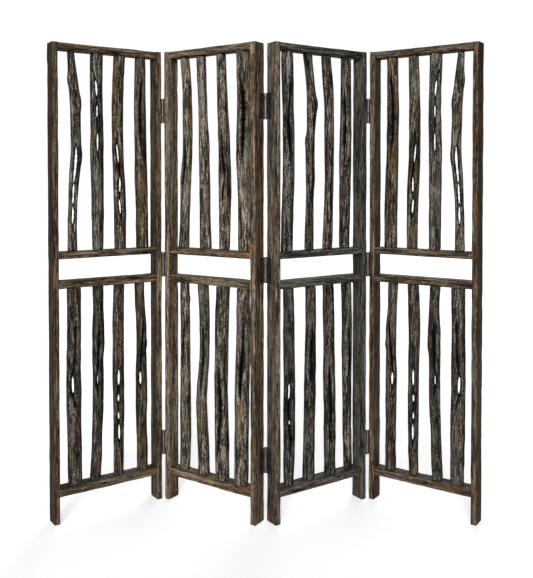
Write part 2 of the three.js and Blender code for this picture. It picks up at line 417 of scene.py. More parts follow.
brown_wood = wood("brown_board_wood", BROWN, 16, 4, 185)
grey_wood = wood("grey_board_wood", GREY, 16, 4, 185)
branch_wood = wood("weathered_branch_wood", BRANCH, 10, 2.2, 215)
aged_steel = steel("aged_hinge_steel", srgb(140, 138, 136), srgb(70, 67, 66), srgb(74, 50, 36))
worn_steel = steel("worn_pin_steel", srgb(176, 173, 168), srgb(92, 90, 86), srgb(96, 66, 44))


# ---------------------------------------------------------------- the frame's own measures

def node_points(name):
    points = np.array([vertex.co for vertex in frame["nodes"][name].data.vertices])
    return np.unique(points.round(6), axis=0)


def panel_matrix(panel):
    """The place and heading of a panel's own frame, from the feet of its CAD frame."""
    points = node_points(f"{panel}_frame")
    feet = points[points[:, 2] < 1 * MM][:, :2]
    along = np.linalg.svd(feet - feet.mean(axis=0))[2][0]
    along = along * math.copysign(1, along[0])
    turn = Matrix.Rotation(math.atan2(along[1], along[0]), 4, "Z")
    own = points @ np.array(turn.to_3x3())
    return turn @ Matrix.Translation(Vector((own[:, 0].min(), own[:, 1].min(), 0)))


panel_places = {panel: panel_matrix(panel) for panel in PANELS}


def frame_levels(panel):
    """The sorted x, y and z values that the CAD frame's corners have in the panel's own frame."""
    to_panel = np.array(panel_places[panel].inverted())
    points = node_points(f"{panel}_frame") @ to_panel[:3, :3].T + to_panel[:3, 3]
    return [np.unique(points[:, axis].round(4)) for axis in range(3)]


# ---------------------------------------------------------------- boards

EDGE_RADIUS = 1.6 * MM
SECTION_STEP = 4 * MM
LENGTH_STEP = 12 * MM
SPLIT_HALF_WIDTH = 1.2 * MM
SPLIT_DEPTH = 3.5 * MM
CORNER_WEAR = 1.5 * MM
WEAR_REACH = 3.5 * MM


def side_stations(length, cracks):
    """Places along one flat of a section: even steps, with three close points at each crack."""
    count = max(2, round(length / SECTION_STEP))
    even = [length * i / count for i in range(1, count)]
    clear = [at for at in even if all(abs(at - crack) > 2.2 * SPLIT_HALF_WIDTH for crack in cracks)]
    close = [crack + shift for crack in cracks for shift in (-SPLIT_HALF_WIDTH, 0, SPLIT_HALF_WIDTH)]
    return sorted(clear + close)


def board_section(width, depth, cracks):
    """Points round a board's section, anticlockwise. cracks lists where its flats are split: (side, place).

    Gives the points, their outward directions, how near each is to a corner, and each crack's middle point.
    """
    corners = [(EDGE_RADIUS, EDGE_RADIUS), (width - EDGE_RADIUS, EDGE_RADIUS)]
    corners += [(width - EDGE_RADIUS, depth - EDGE_RADIUS), (EDGE_RADIUS, depth - EDGE_RADIUS)]
    points, outward, middles = [], [], {}
    for side, corner in enumerate(corners):
        for step in range(4):
            angle = math.pi + (side + step / 3) * math.pi / 2
            direction = (math.cos(angle), math.sin(angle))
            points.append([corner[i] + EDGE_RADIUS * direction[i] for i in range(2)])
            outward.append(direction)
        begin = np.array(points[-1])
        following = np.array(corners[(side + 1) % 4]) + EDGE_RADIUS * np.array(direction)
        length = np.linalg.norm(following - begin)
        own = [at * length for crack_side, at in cracks if crack_side == side]
        for at in side_stations(length, own):
            for crack in own:
                if abs(at - crack) < 1e-7:
                    middles[(side, crack / length)] = len(points)
            points.append((begin + (following - begin) * at / length).tolist())
            outward.append(direction)
    points = np.array(points)
    sharp = np.array([(0, 0), (width, 0), (width, depth), (0, depth)])
    gaps = np.linalg.norm(points[:, None] - sharp[None], axis=2).min(axis=1)
    near_corner = np.exp(-((gaps / WEAR_REACH) ** 2))
    return points, np.array(outward), near_corner, [middles[key] for key in sorted(middles)]


def board_cracks(rng):
    """Where a board's flats are split: two cracks in each broad side, one in each narrow side, at most."""
    places = [(side, 0.2 + 0.28 * i + rng.uniform(0, 0.14)) for side in range(4) for i in range(2)]
    return [at for at in places if rng.uniform() < 0.75]


def board_relief(rng, around, along, girth, length):
    ridges = noise(rng, around, along, round(girth / (12 * MM)), round(length / 0.2) + 1)
    fibres = noise(rng, around, along, round(girth / (5 * MM)), round(length / 0.06) + 1)
    waves = noise(rng, around, along, 4, round(length / 0.14) + 1)
    pits = noise(rng, around, along, round(girth / (16 * MM)), round(length / 0.05) + 1)
    dents = np.clip(pits - 0.62, 0, 1)
    return 0.35 * MM * ridges + 0.25 * MM * fibres + 0.5 * MM * waves - 5 * MM * dents - 0.5 * MM


def open_cracks(rng, out, along, cracks):
    """Cuts each crack into the skin over a stretch of the board. Gives how open each point is, which is also its
    painted crack shade.
    """
    crack_shade = np.zeros(out.shape)
    for column in cracks:
        begin = rng.uniform(-0.2, 0.8)
        reach = rng.uniform(0.12, 0.45)
        opening = np.clip(1 - ((along[:, 0] - begin - reach / 2) / (reach / 2)) ** 2, 0, 1) ** 0.5
        out[:, column] -= SPLIT_DEPTH * opening
        crack_shade[:, column] = opening
    return crack_shade


def board_mesh(sections, rows, size):
    """The points and faces of a board, from its section at each row, with a fan at each end."""
    numbers, faces = tube(*sections.shape[:2])
    points = np.zeros((numbers.size + 2, 3))
    points[:-2, :2] = sections.reshape(-1, 2)
    points[:-2, 2] = np.repeat(rows, sections.shape[1])
    points[-2:] = [(size[0] / 2, size[1] / 2, 0), (size[0] / 2, size[1] / 2, size[2])]
    return points, faces + fans(numbers[0], numbers[-1], numbers.size, numbers.size + 1)


def build_board(name, panel, low, high, upright, seed, look, material, slot):
    """A weathered board in a box of its panel's own frame, with its length along z or along x."""
    rng = np.random.default_rng(seed)
    order = [0, 1, 2] if upright else [1, 2, 0]
    size = (high - low)[order]
    section, outward, corner, cracks = board_section(size[0], size[1], board_cracks(rng))
    rows = np.linspace(0, size[2], round(size[2] / LENGTH_STEP) + 1)
    rows = np.concatenate([[0, 0.7 * MM], rows[1:-1], [size[2] - 0.7 * MM, size[2]]])
    steps = np.linalg.norm(np.roll(section, -1, axis=0) - section, axis=1)
    girth = steps.sum()
    around = np.broadcast_to(np.cumsum(steps) / girth, (len(rows), len(section)))
    along = np.broadcast_to((rows / size[2])[:, None], around.shape)
    wear = 0.5 + noise(rng, around, along, 4, round(size[2] / 0.05) + 1)
    out = board_relief(rng, around, along, girth, size[2]) - CORNER_WEAR * corner * np.clip(wear, 0.1, 1.4)
    crack_shade = open_cracks(rng, out, along, cracks)
    out[[0, -1]] -= 0.9 * MM
    points, faces = board_mesh(section[None] + outward[None] * out[:, :, None], rows, size)
    placed = np.zeros(points.shape)
    placed[:, order] = points
    tone, warmth, painted_side_shade = look
    # Painted shade: the board's narrow sides are made darker through its tone.
    sideways = np.abs(outward[:, 0] if upright else outward[:, 1])
    shades = np.broadcast_to(-painted_side_shade * sideways, around.shape)
    values = {
        "grain": points + rng.uniform(0, 30, 3),
        "crack_shade": np.concatenate([crack_shade.ravel(), [0, 0]]),
        "tone": tone + rng.uniform(-0.1, 0.1) + np.concatenate([shades.ravel(), [0, 0]]),
        "warmth": np.full(len(points), warmth),
    }
    board = make_object(name, placed + low, faces, material, values, panel_places[panel])
    place(board, panel, slot, f"{panel}_frame")


RAIL_NAMES = ["bottom_rail", "lower_middle_rail", "upper_middle_rail", "top_rail"]
RAIL_TENON = 1.5 * MM
# Each board's brightness and warmth against its wood's own, and the painted shade on its narrow sides:
# the left stile, the right stile and the four rails.
BOARD_LOOKS = {
    "panel_1": [(-0.15, 0.1, 0.9), (0.35, -0.1, 1.1), (0.3, -0.1, 0.5)],
    "panel_2": [(1.1, -0.4, 0.1), (0.85, -0.1, 0.9), (0.4, 0, 0.5)],
    "panel_3": [(0.95, -0.8, 0.9), (-0.2, -0.2, 0), (0, -0.3, 0.5)],
    "panel_4": [(0.15, -0.1, 0.9), (-0.15, 0, 1.1), (-0.2, -0.1, 0.5)],
}


def build_frame_boards():
    for number, panel in enumerate(PANELS):
        x, y, z = frame_levels(panel)
        slot = "grey_frame_wood" if panel == "panel_3" else "brown_frame_wood"
        body_wood = grey_wood if panel == "panel_3" else brown_wood
        seed = 100 * (number + 1)
        stiles = [("left_stile", x[0], x[1], brown_wood), ("right_stile", x[-2], x[-1], body_wood)]
        for i, (name, low_x, high_x, material) in enumerate(stiles):
            low = np.array([low_x, y[0], z[0]])
            high = np.array([high_x, y[-1], z[-1]])
            look = BOARD_LOOKS[panel][i]
            build_board(f"{panel}_{name}", panel, low, high, True, seed + i, look, material, slot)
        for i, name in enumerate(RAIL_NAMES):
            low = np.array([x[1] - RAIL_TENON, y[1], z[2 * i + 1]])
            high = np.array([x[-2] + RAIL_TENON, y[-2], z[2 * i + 2]])
            look = BOARD_LOOKS[panel][2]
            build_board(f"{panel}_{name}", panel, low, high, False, seed + 10 + i, look, body_wood, slot)


# ---------------------------------------------------------------- branch poles

# How a pole is split: (height, side, gape) down its length, and slits (low, high, width) that go right
# through. Millimetres; side runs from -1 at the pole's left, seen from the front, to 1 at its right.
SPLITS = {
    "panel_1_upper_branch_1": (
        [(1440, 0, 0), (1415, 0, 6), (1335, 0.1, 7), (1275, 0, 3), (1230, 0, 6), (1195, -0.05, 3),
         (1160, 0.1, 5), (1120, 0, 4), (1060, 0.85, 2), (1045, 0.9, 0)],
        [(1275, 1415, 10), (1195, 1270, 8), (1120, 1185, 7)],
    ),
    "panel_1_upper_branch_2": (
        [(1745, -0.9, 0), (1725, -0.85, 4), (1670, -0.2, 5), (1610, 0.05, 5), (1525, 0.05, 5),
         (1465, 0.1, 5), (1395, 0.1, 6), (1350, 0.35, 0)],
        [(1610, 1670, 7), (1525, 1575, 5), (1395, 1465, 6)],
    ),
    "panel_1_upper_branch_3": (
        [(1490, 0.05, 0), (1455, 0, 4), (1430, -0.3, 5), (1355, 0.1, 8), (1300, 0.25, 8), (1240, 0, 5),
         (1210, -0.15, 5), (1155, 0.1, 8), (1100, 0.3, 0)],
        [(1355, 1430, 7), (1240, 1300, 7), (1155, 1210, 6)],
    ),
    "panel_1_upper_branch_4": (
        [(1710, 0.35, 0), (1680, 0.35, 7), (1580, 0, 9), (1460, 0.05, 8), (1400, 0.25, 4),
         (1365, 0.3, 0)], [],
    ),
    "panel_1_lower_branch_1": (
        [(770, 0.25, 0), (730, 0.25, 9), (665, 0.2, 5), (605, 0.15, 8), (545, -0.2, 5), (470, -0.1, 6),
         (440, 0.2, 8), (415, 0.35, 0)],
        [(470, 545, 8)],
    ),
    "panel_1_lower_branch_2": (
        [(770, 0.15, 0), (700, 0.2, 8), (635, 0.1, 9), (565, 0.1, 7), (535, -0.2, 6), (490, -0.1, 9),
         (430, 0.3, 0)],
        [(490, 535, 5)],
    ),
    "panel_1_lower_branch_3": (
        [(595, 0.15, 0), (545, 0.1, 5), (475, 0, 5), (410, -0.05, 5), (340, 0, 5), (325, 0.15, 5),
         (255, 0.15, 6), (210, 0.7, 0)],
        [(475, 545, 8), (410, 445, 7), (340, 375, 6), (255, 325, 8)],
    ),
    "panel_1_lower_branch_4": (
        [(765, 0.55, 0), (700, 0.5, 8), (640, 0.1, 6), (575, -0.2, 8), (520, -0.3, 5), (460, -0.2, 5),
         (440, 0.2, 0)],
        [(460, 520, 8)],
    ),
    "panel_2_upper_branch_1": (
        [(1480, -0.8, 0), (1400, -0.6, 10), (1335, -0.55, 10), (1275, -0.7, 9), (1205, -0.8, 0)], [],
    ),
    "panel_2_upper_branch_3": (
        [(1460, -0.3, 0), (1395, -0.3, 7), (1335, -0.17, 9), (1295, -0.05, 4), (1245, -0.45, 8),
         (1165, -0.4, 0)], [],
    ),
    "panel_2_upper_branch_4": (
        [(1695, -0.7, 0), (1625, -0.2, 11), (1555, 0, 13), (1485, -0.05, 12), (1415, -0.2, 9),
         (1345, -0.2, 0)], [],
    ),
    "panel_2_lower_branch_1": ([(700, -0.6, 0), (640, -0.6, 8), (605, -0.6, 8), (540, -0.7, 0)], []),
    "panel_2_lower_branch_2": (
        [(795, -0.5, 0), (690, -0.35, 6), (580, -0.3, 7), (485, -0.35, 6), (425, -0.3, 0)], [],
    ),
    "panel_2_lower_branch_3": (
        [(600, -0.7, 0), (500, -0.4, 9), (430, -0.1, 9), (365, -0.15, 7), (325, -0.5, 8), (290, -0.45, 9),
         (230, -0.75, 7), (190, -0.85, 0)], [],
    ),
    "panel_2_lower_branch_4": (
        [(800, 0.6, 0), (715, 0, 6), (645, -0.05, 8), (580, -0.2, 11), (515, -0.3, 11), (440, -0.2, 0)], [],
    ),
    "panel_3_upper_branch_1": (
        [(1695, 0.6, 0), (1640, 0.55, 9), (1595, 0.45, 6), (1555, 0.1, 6), (1510, 0.05, 9), (1450, 0.1, 9),
         (1370, 0.5, 0)], [],
    ),
    "panel_3_upper_branch_2": ([(1410, 0.6, 0), (1330, 0.7, 9), (1240, 0.7, 9), (1145, 0.7, 0)], []),
    "panel_3_upper_branch_3": (
        [(1390, 0.6, 0), (1300, 0.6, 7), (1245, 0.5, 8), (1180, 0.7, 7), (1120, 0.7, 0)], [],
    ),
    "panel_3_upper_branch_4": (
        [(1665, -0.3, 0), (1600, -0.3, 8), (1560, -0.2, 9), (1525, 0, 6), (1480, -0.15, 10),
         (1430, -0.2, 8),
         (1380, -0.2, 0)], [],
    ),
    "panel_3_lower_branch_1": (
        [(580, 0.35, 0), (555, 0.35, 5), (515, -0.05, 5), (445, -0.2, 6), (375, -0.05, 7), (350, 0, 7),
         (315, 0.3, 10), (220, 0.5, 0)],
        [(445, 515, 7), (350, 375, 5)],
    ),
    "panel_3_lower_branch_2": (
        [(785, 0.4, 0), (700, 0.35, 5), (650, 0.3, 10), (600, 0.2, 5), (545, 0.25, 10), (500, 0.3, 0)], [],
    ),
    "panel_3_lower_branch_3": (
        [(580, 0.05, 0), (520, 0.05, 9), (450, 0.1, 8), (400, 0.2, 10), (350, 0.2, 9), (325, 0, 6),
         (275, 0.15, 9),
         (245, 0.6, 0)], [],
    ),
    "panel_3_lower_branch_4": (
        [(750, 0.6, 0), (690, 0.5, 6), (610, 0.7, 7), (530, 0.65, 7), (460, 0.6, 0)], [],
    ),
}

# Knots that show in a pole's outline: (height, side, rise, size), in millimetres and shares of the radius.
KNOTS = {
    "panel_1_upper_branch_1": [(1665, -0.9, 5, 24), (1585, 0.9, 5, 28), (1375, 0.9, 4, 26)],
    "panel_1_lower_branch_2": [(645, 0.9, 4, 28)],
    "panel_1_lower_branch_4": [(635, 0.9, 5, 16)],
    "panel_2_lower_branch_1": [(815, 0.9, 4, 14)],
    "panel_3_upper_branch_2": [(1580, 0.9, 6, 24), (1440, -0.9, 6, 20)],
}
MIRRORED_PANELS = {"panel_4": "panel_1"}
POLES_PER_BAY = 4
# Each pole's brightness and warmth against the wood's own, from the panel's left to its right.
POLE_LOOKS = {
    "panel_1": [(0, -0.4), (-0.05, -0.3), (0, 0.3), (0.05, 0.5)],
    "panel_2": [(0.7, 0.2), (0.6, -0.2), (0.6, -0.3), (0.8, -0.1)],
    "panel_3": [(-0.3, -1), (-0.2, -0.7), (-0.1, -0.5), (-0.1, -0.4)],
}
POLE_LOOKS["panel_4"] = POLE_LOOKS["panel_1"][::-1]

HALF_COLUMNS = 22
POLE_STEP = 5.4 * MM
WALL_STEPS = 6
SMOOTHED_ROWS = 9
END_BEVEL = 2.5 * MM
FIRST_ROW = 1.2 * MM
SIDE_CRACK_DEPTH = 2.2 * MM
FURTHEST_SIDE = 0.93
SPLITS_FACE = np.array([0.0, -3.0])
GAPE_SPREAD = 0.58
SLIT_WIDENING = 1.5
# How much painted shade darkens a pole's left and right sides, seen from SPLITS_FACE in front of the screen.
POLE_SIDE_SHADE = -1.1
LOWER_BAY_TONE = -0.45


def pole_features(panel, bay, number):
    """A pole's splits, slits and knots, in metres. One panel's poles are another's, turned left to right."""
    source, flip = panel, 1
    if panel in MIRRORED_PANELS:
        source, number, flip = MIRRORED_PANELS[panel], POLES_PER_BAY + 1 - number, -1
    name = f"{source}_{bay}_branch_{number}"
    path, slits = SPLITS.get(name, ([], []))
    path = np.array([(height * MM, side * flip, gape * MM) for height, side, gape in path]).reshape(-1, 3)
    knots = KNOTS.get(name, [])
    knots = [(height * MM, side * flip, rise * MM, size * MM) for height, side, rise, size in knots]
    slits = [(low * MM, high * MM, SLIT_WIDENING * width * MM) for low, high, width in slits]
    return path[::-1], slits, knots


def pole_line(node_name, heights):
    """The centre and radius of a CAD pole at the given heights, smoothed between its rings."""
    points = node_points(node_name)
    levels = np.unique(points[:, 2].round(5))
    rings = [points[abs(points[:, 2] - level) < 0.01 * MM][:, :2] for level in levels]
    centres = np.array([ring.mean(axis=0) for ring in rings])
    radii = [np.linalg.norm(ring - centre, axis=1).max() for ring, centre in zip(rings, centres)]
    lines = [centres[:, 0], centres[:, 1], np.array(radii)]
    window = SMOOTHED_ROWS
    kernel = np.hanning(window + 2)[1:-1]
    kernel = kernel / kernel.sum()
    smoothed = []
    for line in lines:
        values = np.interp(heights, levels, line)
        before = 2 * values[0] - values[window // 2:0:-1]
        after = 2 * values[-1] - values[-2:-window // 2 - 1:-1]
        smoothed.append(np.convolve(np.concatenate([before, values, after]), kernel, "valid"))
    return np.stack(smoothed[:2], axis=1), smoothed[2]


def pole_rows(low, high):
    even = np.linspace(low, high, round((high - low) / POLE_STEP) + 1)
    return np.concatenate([[low, low + FIRST_ROW], even[1:-1], [high - FIRST_ROW, high]])


def slit_widths(rng, heights, slits):
    """Half the width of the gap through the pole at each row, and the rows where each slit closes."""
    half = np.zeros(len(heights))
    spans = []
    for low, high, width in slits:
        first, last = np.searchsorted(heights, low), np.searchsorted(heights, high)
        share = np.linspace(0, 1, last - first + 1)
        rough = 1 + 0.12 * rng.uniform(-1, 1, len(share))
        half[first:last + 1] = 0.5 * width * np.sin(np.pi * share) ** 0.6 * rough
        half[[first, last]] = 0
        spans.append((first, last))
    return half, spans


def arc(first, last):
    """Angles from first to last for each row, closer together at both ends."""
    even = np.linspace(0, 1, HALF_COLUMNS + 1)
    eased = even + even * (1 - even) * (even - 0.5)
    return first[:, None] + (last - first)[:, None] * eased[None]


def pole_bumps(rng, around, along, length):
    """How far a pole's skin stands out of its round section, as a share of the radius."""
    lumps = noise(rng, around, along, 3, round(length / 0.13))
    dimples = noise(rng, around, along, 6, round(length / 0.045))
    twisted = around + 0.12 * along
    strands = noise(rng, twisted, along, 9, round(length / 0.2))
    ridges = noise(rng, twisted, along, 26, round(length / 0.1))
    fibres = noise(rng, twisted, along, 52, round(length / 0.03))
    return 0.05 * lumps + 0.04 * dimples + 0.04 * strands + 0.03 * ridges + 0.014 * fibres - 0.03


def side_cracks(rng, around, along):
    """Drying cracks at odd places round a pole: how open each point of the skin is, from 0 to 1."""
    opened = np.zeros(around.shape)
    for _ in range(5):
        at = rng.uniform(0.08, 0.92) + 0.02 * noise(rng, np.zeros(along.shape), along, 1, 12)
        middle, reach = rng.uniform(0.1, 0.9), rng.uniform(0.06, 0.2)
        fade = np.clip(1 - ((along - middle) / reach) ** 2, 0, 1)
        apart = np.abs(np.mod(around - at + 0.5, 1) - 0.5)
        opened = np.maximum(opened, fade * np.exp(-((apart / 0.018) ** 2)))
    return opened


class Skin:
    """Points gathered patch by patch, each with its grain, painted crack shade and tone, and the faces between
    them.
    """

    def __init__(self):
        self.count = 0
        self.parts = {"points": [], "grain": [], "crack_shade": [], "tone": []}
        self.faces = []

    def add(self, points, grain, crack_shade, tone):
        """Adds a patch of points and gives their numbers, in the patch's own rows and columns."""
        shape = points.shape[:-1]
        first = self.count
        self.count += math.prod(shape)
        self.parts["points"].append(points.reshape(-1, 3))
        self.parts["grain"].append(grain.reshape(-1, 3))
        self.parts["crack_shade"].append(np.broadcast_to(crack_shade, shape).ravel())
        self.parts["tone"].append(np.broadcast_to(tone, shape).ravel())
        return np.arange(first, self.count).reshape(shape)

    def finished(self):
        """The faces and values of the points that some face uses, numbered afresh."""
        kept = np.unique(np.concatenate([np.array(face) for face in self.faces]))
        renumber = np.zeros(self.count, int)
        renumber[kept] = np.arange(len(kept))
        faces = [renumber[face].tolist() for face in self.faces]
        return faces, {key: np.concatenate(parts)[kept] for key, parts in self.parts.items()}


def measured_pole(rng, name, panel, bay, number):
    """A pole's rows from end to end: its centre and radius in the CAD, and how it is split at each row."""
    low, high = (corner.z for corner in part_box(name))
    heights = pole_rows(low, high)
    centre, radius = pole_line(name, heights)
    path, slits, knots = pole_features(panel, bay, number)
    half, spans = slit_widths(rng, heights, slits)
    side, gape = np.zeros(len(heights)), np.zeros(len(heights))
    if len(path):
        side = np.interp(heights, path[:, 0], path[:, 1])
        gape = np.interp(heights, path[:, 0], path[:, 2], 0, 0) * rng.uniform(0.75, 1.25, len(heights))
    lip, far_lip = (
        np.arcsin(np.clip(side + way * half / radius, -FURTHEST_SIDE, FURTHEST_SIDE)) for way in (1, -1)
    )
    angle = np.concatenate([arc(lip, math.pi - lip), arc(math.pi - far_lip, 2 * math.pi + far_lip)], axis=1)
    return SimpleNamespace(
        low=low, high=high, heights=heights, centre=centre, radius=radius, knots=knots, half=half,
        spans=spans, gape=gape, lip=lip, far_lip=far_lip, angle=angle,
    )


def knot_rises(pole):
    """How far each point stands out on a knot, with a dimple at the knot's own middle."""
    rises = np.zeros(pole.angle.shape)
    for height, side, rise, size in pole.knots:
        apart = np.abs(np.mod(pole.angle - math.asin(side) + math.pi, 2 * math.pi) - math.pi)
        reach = ((pole.heights[:, None] - height) ** 2 + (apart * pole.radius[:, None]) ** 2) / size ** 2
        rises = rises + rise * np.exp(-reach) - 0.5 * rise * np.exp(-reach * 9)
    return rises


def split_depths(pole):
    """How deep the split cuts in at each point: most at the side where it shows, less at the back."""
    columns = HALF_COLUMNS + 1
    first = np.repeat(pole.lip[:, None], columns, axis=1)
    second = np.repeat(-pole.far_lip[:, None], columns, axis=1)
    to_front = np.concatenate(
        [pole.angle[:, :columns] - first, 2 * math.pi - second - pole.angle[:, columns:]], axis=1
    )
    to_back = math.pi - 2 * np.concatenate([first, second], axis=1) - to_front
    softness = pole.radius[:, None] / np.maximum(GAPE_SPREAD * pole.gape, 1 * MM)[:, None]
    back_gape = np.where(pole.half > 0, pole.gape, 0.3 * pole.gape)[:, None]
    front = 1.6 * pole.gape[:, None] * np.exp(-((to_front * softness) ** 2))
    return front + 0.8 * back_gape * np.exp(-((to_back * softness) ** 2))


def add_pole_bark(rng, skin, pole, right):
    """The pole's outside. Gives its points, its grain and its vertex numbers, row by row."""
    angle = pole.angle
    heights = pole.heights[:, None]
    around = angle / (2 * math.pi)
    along = np.broadcast_to((heights - pole.low) / (pole.high - pole.low), angle.shape)
    bumps = pole_bumps(rng, around, along, pole.high - pole.low)
    out = pole.radius[:, None] * (1 + bumps) + knot_rises(pole)
    cracks = side_cracks(rng, around, along)
    depths = split_depths(pole)
    out = out - depths - SIDE_CRACK_DEPTH * cracks
    from_end = np.minimum(heights - pole.low, pole.high - heights)
    out = out - END_BEVEL * np.exp(-from_end / (2 * MM))
    toward = np.array([right[1], -right[0]])
    sides = np.cos(angle)[..., None] * toward + np.sin(angle)[..., None] * right
    level = np.broadcast_to(heights, angle.shape)[..., None]
    points = np.concatenate([pole.centre[:, None] + out[..., None] * sides, level], axis=2)
    grain = np.concatenate([np.stack([out * np.cos(angle), out * np.sin(angle)], axis=2), level], axis=2)
    # Painted shade in the split and the side cracks, darker the deeper they cut.
    crack_shade = np.clip(np.maximum(depths / (4 * MM), cracks), 0, 1)
    # Painted shade on the pole's left and right sides goes into its tone.
    numbers = skin.add(points, grain, crack_shade, POLE_SIDE_SHADE * np.sin(angle) ** 6)
    whole = pole.half == 0
    numbers[whole, -1] = numbers[whole, 0]
    numbers[whole, HALF_COLUMNS + 1] = numbers[whole, HALF_COLUMNS]
    for lower, upper in zip(numbers[:-1], numbers[1:]):
        skin.faces += quads(lower[:HALF_COLUMNS + 1], upper[:HALF_COLUMNS + 1])
        skin.faces += quads(lower[HALF_COLUMNS + 1:], upper[HALF_COLUMNS + 1:])
    return points, grain, numbers


def add_slit_walls(rng, skin, span, bark, right):
    """The two inner walls of a slit that goes right through the pole, from its first row to its last."""
    points, grain, numbers = bark
    share = np.linspace(0, 1, WALL_STEPS + 1)[1:-1, None]
    rows = slice(span[0], span[1] + 1)
    walls = []
    for front, back in ((0, HALF_COLUMNS), (-1, HALF_COLUMNS + 1)):
        inner = points[rows, front][:, None] * (1 - share) + points[rows, back][:, None] * share
        closing = np.sin(np.linspace(0, np.pi, inner.shape[0]))[:, None]
        sway = 0.8 * MM * rng.uniform(-1, 1, inner.shape[:2]) * closing
        inner[..., :2] += sway[..., None] * right
        inner_grain = grain[rows, front][:, None] * (1 - share) + grain[rows, back][:, None] * share
        # The slit's inner walls carry a strong painted shade.
        inner_numbers = skin.add(inner, inner_grain, 0.85, 0)
        walls.append(np.concatenate(
            [numbers[rows, front][:, None], inner_numbers, numbers[rows, back][:, None]], axis=1
        ))
    walls[1][[0, -1]] = walls[0][[0, -1]]
    for i in range(len(walls[0]) - 1):
        skin.faces += quads(walls[0][i][::-1], walls[0][i + 1][::-1])
        skin.faces += quads(walls[1][i], walls[1][i + 1])


def close_pole_ends(skin, pole, numbers):
    rings = np.concatenate([numbers[:, :HALF_COLUMNS + 1], numbers[:, HALF_COLUMNS + 2:-1]], axis=1)
    middles = np.array([[*pole.centre[0], pole.low], [*pole.centre[-1], pole.high]])
    grain = np.array([[0, 0, pole.low], [0, 0, pole.high]])
    bottom, top = skin.add(middles, grain, 0, 0)
    skin.faces += fans(rings[0], rings[-1], bottom, top)


def build_pole(panel, bay, number, seed):
    name = f"{panel}_{bay}_branch_{number}"
    rng = np.random.default_rng(seed)
    pole = measured_pole(rng, name, panel, bay, number)
    toward = SPLITS_FACE - pole.centre.mean(axis=0)
    right = np.array([-toward[1], toward[0]]) / np.linalg.norm(toward)
    skin = Skin()
    bark = add_pole_bark(rng, skin, pole, right)
    for span in pole.spans:
        add_slit_walls(rng, skin, span, bark, right)
    close_pole_ends(skin, pole, bark[2])
    faces, values = skin.finished()
    tone, warmth = POLE_LOOKS[panel][number - 1]
    if bay == "lower":
        tone += LOWER_BAY_TONE
    points = values.pop("points")
    values["grain"] = values["grain"] + rng.uniform(0, 30, 3)
    values["tone"] = values["tone"] + tone + rng.uniform(-0.1, 0.1)
    values["warmth"] = np.full(len(points), warmth)
    made = make_object(f"{name}_wood", points, faces, branch_wood, values)
    place(made, panel, "branch_wood", name)


def build_poles():
    for i, panel in enumerate(PANELS):
        for j, bay in enumerate(("lower", "upper")):
            for number in range(1, POLES_PER_BAY + 1):
                build_pole(panel, bay, number, 1000 + 100 * i + 10 * j + number)


# ---------------------------------------------------------------- hinges and screws

# A hinge's own frame stands on its pin at its foot: z up, y along the leaves, x from one leaf to the other.
LEAF_NEAR = 1.2 * MM
LEAF_THICKNESS = 2 * MM
LEAF_REACH = 35 * MM
LEAF_CORNER = 5 * MM
LEAF_CHAMFER = 0.25 * MM
BARREL_RADIUS = 4 * MM
CLEARANCE = 0.3 * MM
BORE_RADIUS = 1.9 * MM
PIN_RADIUS = 1.6 * MM
KNUCKLES = 5
KNUCKLE_GAP = 0.4 * MM
PIN_KNUCKLES = [0, 2, 4]
BORED_KNUCKLES = [1, 3]
LEAF_SCREWS = [(14 * MM, 14 * MM), (25 * MM, 49 * MM), (14 * MM, 84 * MM)]
HEAD_RADIUS = 3.5 * MM
HEAD_DEPTH = 1.7 * MM
SHANK_RADIUS = 1.8 * MM
SCREW_LENGTH = 16 * MM
LEAF_DARKENING = -0.7


def lathe(profile, sides):
    """A closed round solid on the z axis. The profile lists (radius, height) from its bottom to its top."""
    turns = np.arange(sides) * 2 * np.pi / sides
    rows = [np.stack([r * np.cos(turns), r * np.sin(turns), np.full(sides, z)], axis=1) for r, z in profile]
    numbers, faces = tube(len(rows), sides)
    faces += [numbers[0][::-1].tolist(), numbers[-1].tolist()]
    return np.concatenate(rows), faces


def solid(points, faces, matrix=None):
    """An object to build with, kept only until its shape has been used."""
    mesh = bpy.data.meshes.new("building")
    mesh.from_pydata(np.asarray(points).tolist(), [], faces)
    if matrix is not None:
        mesh.transform(matrix)
    return add_object("building", mesh)


def combined(base, steps):
    """The points and faces of base after each other solid is cut from it or joined to it."""
    for operation, other in steps:
        modifier = base.modifiers.new(operation, "BOOLEAN")
        modifier.operation = operation
        modifier.solver = "EXACT"
        modifier.object = other
    mesh = base.evaluated_get(bpy.context.evaluated_depsgraph_get()).to_mesh()
    points = np.array([vertex.co for vertex in mesh.vertices])
    faces = [list(face.vertices) for face in mesh.polygons]
    for used in [base] + [other for _, other in steps]:
        bpy.data.objects.remove(used)
    return points, faces


def knuckle_span(index, height, margin=0.0):
    pitch = (height + KNUCKLE_GAP) / KNUCKLES
    return index * pitch - margin, (index + 1) * pitch - KNUCKLE_GAP + margin


def plate_outline(height, inset):
    """The leaf's outline in y and z: square at the barrel, with two rounded corners at its free edge."""
    radius = LEAF_CORNER - inset
    outline = [(inset, inset)]
    for turn, foot in ((-0.5, LEAF_CORNER), (0, height - LEAF_CORNER)):
        for step in range(7):
            angle = math.pi * (turn + step / 12)
            y = LEAF_REACH - LEAF_CORNER + radius * math.cos(angle)
            outline.append((y, foot + radius * math.sin(angle)))
    return outline + [(inset, height - inset)]


